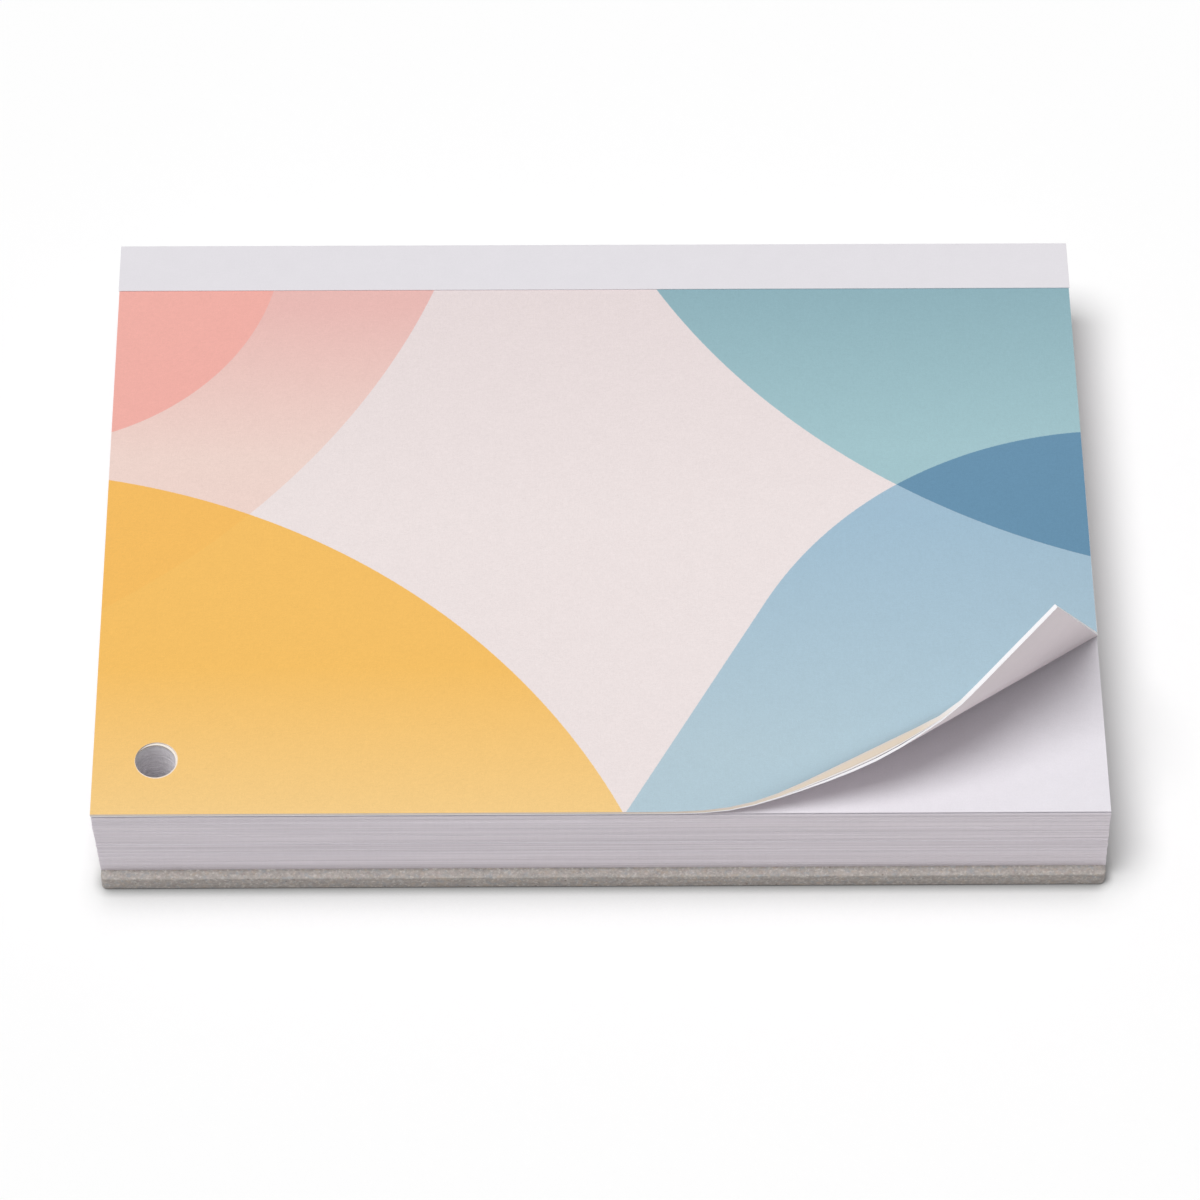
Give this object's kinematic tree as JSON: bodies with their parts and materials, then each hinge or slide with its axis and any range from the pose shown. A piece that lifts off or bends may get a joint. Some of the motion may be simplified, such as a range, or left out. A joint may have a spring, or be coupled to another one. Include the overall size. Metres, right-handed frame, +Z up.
{
  "type": "notepad",
  "caption": "Landscape notepad glued along its back edge, with a folded paper strip, a greyboard back, a punched hole and its free corner lifted.",
  "frame": {"origin": "middle of the sheets on the underside of the backing board", "axes": "+X along the glued edge, +Y towards the glued edge, +Z up out of the cover"},
  "size_m": [0.1487, 0.1071, 0.0446],
  "materials": {
    "backing_board": "matte",
    "page_block": "matte",
    "white_loose_sheets": "matte",
    "cream_loose_sheets": "matte",
    "cover_sheet": "matte",
    "print_coral": "matte",
    "print_pink": "matte",
    "print_yellow": "matte",
    "print_teal": "matte",
    "print_deep_blue": "matte",
    "print_pale_blue": "matte",
    "glue_film": "matte",
    "binding_strip": "matte"
  },
  "bodies": {
    "root": {"backing_board": "backing_board", "page_block": "page_block", "white_loose_sheets": "white_loose_sheets", "cream_loose_sheets": "cream_loose_sheets", "cover_sheet": "cover_sheet", "print_coral": "print_coral", "print_pink": "print_pink", "print_yellow": "print_yellow", "print_teal": "print_teal", "print_deep_blue": "print_deep_blue", "print_pale_blue": "print_pale_blue", "glue_film": "glue_film", "binding_strip": "binding_strip"}
  },
  "joints": []
}
